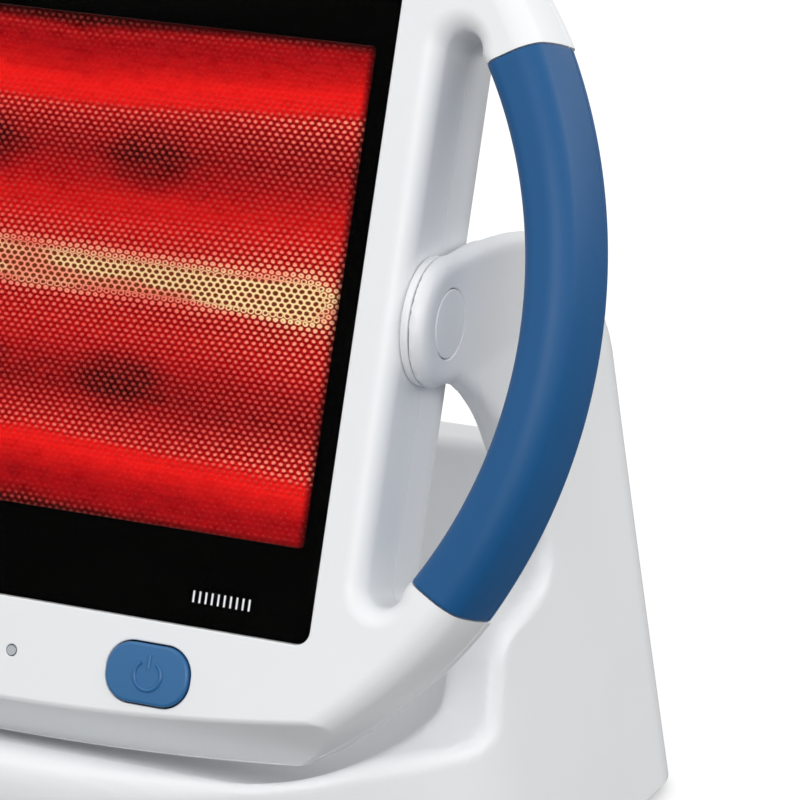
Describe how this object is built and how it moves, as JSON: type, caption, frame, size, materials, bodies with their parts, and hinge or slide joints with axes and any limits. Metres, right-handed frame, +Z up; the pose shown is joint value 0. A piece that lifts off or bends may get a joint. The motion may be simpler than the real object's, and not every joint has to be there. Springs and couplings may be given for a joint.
{
  "type": "infrared heat therapy lamp",
  "caption": "Table infrared heat lamp: wide glowing red pane in a white head with blue side grips, tilting between the two arms of a weighted stand.",
  "frame": {"origin": "on the floor under the middle of the lamp's box", "axes": "+Z up, front of the lamp towards -Y, +X to the right when looking at the front"},
  "size_m": [0.3388, 0.208, 0.3163],
  "materials": {
    "white_plastic": "satin white moulded plastic",
    "grip_blue": "soft matt blue plastic with a fine grain",
    "button_blue": "satin blue plastic",
    "front_glass": "clear polished glass with a black printed border",
    "red_filter": "dimpled red glass, lit from behind",
    "clear_glass": "clear quartz",
    "light_lens": "clear light pipe",
    "tungsten": "glowing wire",
    "reflector_aluminium": "polished sheet",
    "steel": "zinc plated",
    "ceramic": "unglazed",
    "rubber": "matt black rubber",
    "dark_plastic": "matt black plastic",
    "board_green": "green laminate"
  },
  "bodies": {
    "stand": {"stand_shell": "white_plastic", "base_plate": "dark_plastic", "base_weight": "steel", "rubber_foot_front_right": "rubber", "rubber_foot_front_left": "rubber", "rubber_foot_back_right": "rubber", "rubber_foot_back_left": "rubber", "base_screw_1": "steel", "base_screw_2": "steel", "base_screw_3": "steel", "base_screw_4": "steel", "cord_inlet": "rubber", "trunnion_right": "dark_plastic", "trunnion_left": "dark_plastic", "hub_cap_right": "white_plastic", "hub_cap_left": "white_plastic"},
    "head": {"front_bezel": "white_plastic", "rear_cover": "white_plastic", "grip_front_right": "grip_blue", "grip_front_left": "grip_blue", "grip_rear_right": "grip_blue", "grip_rear_left": "grip_blue", "pivot_ring_right": "white_plastic", "pivot_ring_left": "white_plastic", "ceramic_glass": "front_glass", "glass_gasket": "rubber", "dimpled_filter": "red_filter", "reflector": "reflector_aluminium", "quartz_tube": "clear_glass", "heating_coil": "tungsten", "lamp_base_right": "ceramic", "lamp_base_left": "ceramic", "lamp_holder_right": "steel", "lamp_holder_left": "steel", "heat_shield": "reflector_aluminium", "thermal_cutout": "dark_plastic", "fan_frame": "dark_plastic", "control_board": "board_green", "power_switch": "dark_plastic", "timer_switch": "dark_plastic", "relay": "dark_plastic", "buzzer": "dark_plastic", "terminal_block": "dark_plastic", "head_screw_1": "steel", "head_screw_2": "steel", "head_screw_3": "steel", "head_screw_4": "steel", "timer_light_1": "light_lens", "timer_light_2": "light_lens", "timer_light_3": "light_lens"},
    "fan": {"fan_rotor": "dark_plastic"},
    "power_key": {"power_button": "button_blue"},
    "timer_key": {"timer_button": "button_blue"}
  },
  "joints": [
    {"name": "head_tilt", "type": "hinge", "parent": "stand", "child": "head", "pos_m": [0, -0.032, 0.186], "axis": [-1, 0, 0], "range_deg": [-15, 15]},
    {"name": "fan_spin", "type": "hinge", "parent": "head", "child": "fan", "pos_m": [0, -0.01562, 0.11406], "axis": [0, 0.9397, -0.342], "continuous": true},
    {"name": "power_press", "type": "slide", "parent": "head", "child": "power_key", "axis": [0, 0.9397, -0.342], "range_m": [0, 0.001], "stiffness_N_per_m": 800},
    {"name": "timer_press", "type": "slide", "parent": "head", "child": "timer_key", "axis": [0, 0.9397, -0.342], "range_m": [0, 0.001], "stiffness_N_per_m": 800}
  ]
}
